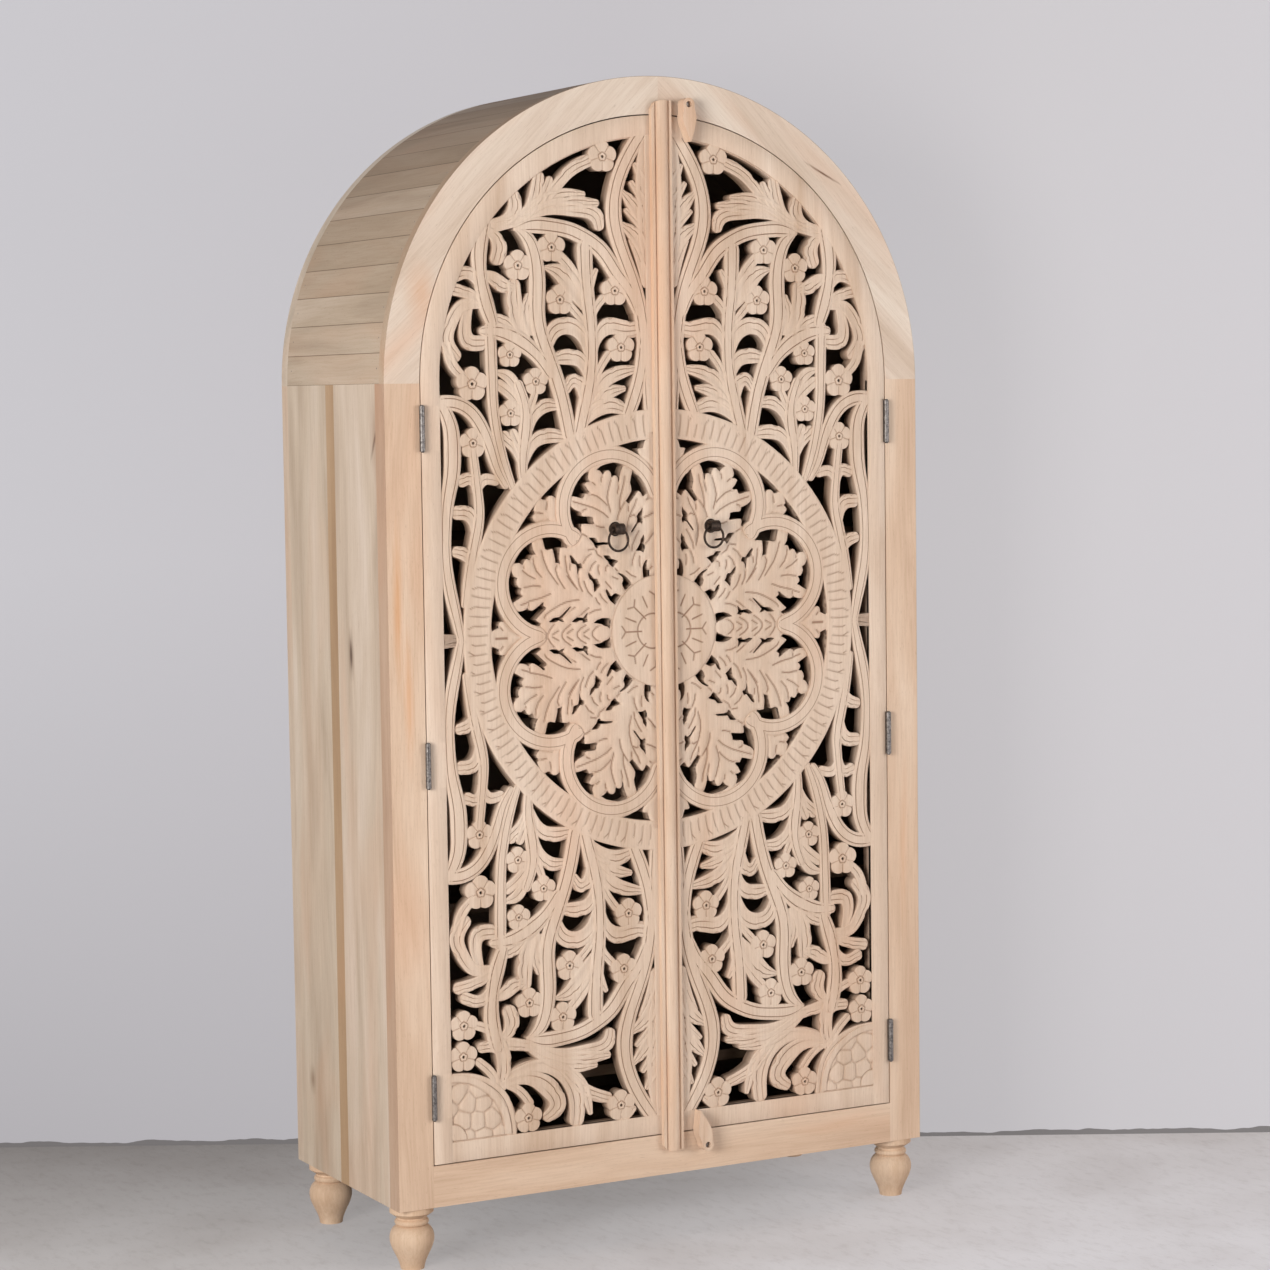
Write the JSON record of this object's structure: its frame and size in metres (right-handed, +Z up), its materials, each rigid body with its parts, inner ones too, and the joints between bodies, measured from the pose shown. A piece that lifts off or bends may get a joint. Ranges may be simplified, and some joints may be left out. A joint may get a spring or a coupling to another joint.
{
  "type": "arched two-door cabinet",
  "caption": "Tall free-standing cabinet with a round arched top, pierced carved doors on butt hinges, ring pulls, turn buttons, shelves and turned feet.",
  "frame": {"origin": "on the floor below the middle of the cabinet, in width and in depth", "axes": "+X to the right seen from the front, +Y to the back, +Z up"},
  "size_m": [1, 0.4524, 1.937],
  "materials": {
    "front_wood": "matt pale wood",
    "side_wood": "matt weathered wood",
    "inside_wood": "rough wood",
    "foot_wood": "matt turned wood",
    "door_wood": "matt carved wood",
    "trim_wood": "matt wood",
    "hinge_metal": "worn grey steel",
    "screw_metal": "dull steel",
    "pull_metal": "dark iron"
  },
  "bodies": {
    "carcass": {"post_front_left": "front_wood", "post_front_right": "front_wood", "rail_front": "front_wood", "arch_front_left": "front_wood", "arch_front_right": "front_wood", "post_rear_left": "side_wood", "post_rear_right": "side_wood", "rail_rear": "side_wood", "side_boards_left": "side_wood", "side_boards_right": "side_wood", "arch_rear_left": "side_wood", "arch_rear_right": "side_wood", "roof_staves": "side_wood", "roof_rib_front": "inside_wood", "roof_rib_rear": "inside_wood", "back_boards": "inside_wood", "shelf_1": "inside_wood", "shelf_2": "inside_wood", "shelf_3": "inside_wood", "shelf_4": "inside_wood", "shelf_cleats": "inside_wood", "floor_board": "inside_wood", "floor_cleats": "inside_wood", "foot_blocks": "inside_wood", "door_stops": "inside_wood", "foot_front_left": "foot_wood", "foot_front_right": "foot_wood", "foot_rear_left": "foot_wood", "foot_rear_right": "foot_wood", "hinge_leaves_frame_left": "hinge_metal", "hinge_leaves_frame_right": "hinge_metal", "hinge_pins_left": "hinge_metal", "hinge_pins_right": "hinge_metal", "hinge_screws_frame_left": "screw_metal", "hinge_screws_frame_right": "screw_metal", "roof_nails": "screw_metal", "button_screws": "screw_metal", "button_washers": "screw_metal"},
    "door_left": {"door_left_panel": "door_wood", "hinge_leaves_door_left": "hinge_metal", "hinge_screws_door_left": "screw_metal", "pull_staple_left": "pull_metal", "pull_nut_left": "pull_metal"},
    "door_right": {"door_right_panel": "door_wood", "hinge_leaves_door_right": "hinge_metal", "hinge_screws_door_right": "screw_metal", "pull_staple_right": "pull_metal", "pull_nut_right": "pull_metal", "astragal": "trim_wood", "astragal_nails": "screw_metal"},
    "ring_left": {"pull_ring_left": "pull_metal"},
    "ring_right": {"pull_ring_right": "pull_metal"},
    "button_top": {"button_top": "trim_wood"},
    "button_bottom": {"button_bottom": "trim_wood"}
  },
  "joints": [
    {"name": "door_right_hinge", "type": "hinge", "parent": "carcass", "child": "door_right", "pos_m": [0.437, -0.2099, 0], "axis": [0, 0, 1], "range_deg": [0, 170]},
    {"name": "door_left_hinge", "type": "hinge", "parent": "carcass", "child": "door_left", "pos_m": [-0.437, -0.2099, 0], "axis": [0, 0, -1], "range_deg": [0, 170]},
    {"name": "ring_left_hinge", "type": "hinge", "parent": "door_left", "child": "ring_left", "pos_m": [-0.09, -0.2155, 1.195], "axis": [-1, 0, 0], "range_deg": [-12, 160]},
    {"name": "ring_right_hinge", "type": "hinge", "parent": "door_right", "child": "ring_right", "pos_m": [0.09, -0.2161, 1.195], "axis": [-1, 0, 0], "range_deg": [-12, 160]},
    {"name": "button_top_turn", "type": "hinge", "parent": "carcass", "child": "button_top", "pos_m": [0.046, -0.2045, 1.891], "axis": [0, -1, 0], "range_deg": [-10, 180]},
    {"name": "button_bottom_turn", "type": "hinge", "parent": "carcass", "child": "button_bottom", "pos_m": [0.06, -0.2045, 0.15], "axis": [0, 1, 0], "range_deg": [-5, 180]}
  ],
  "couplings": [
    {"joint": "door_left_hinge", "follows": "door_right_hinge", "ratio": 1}
  ]
}
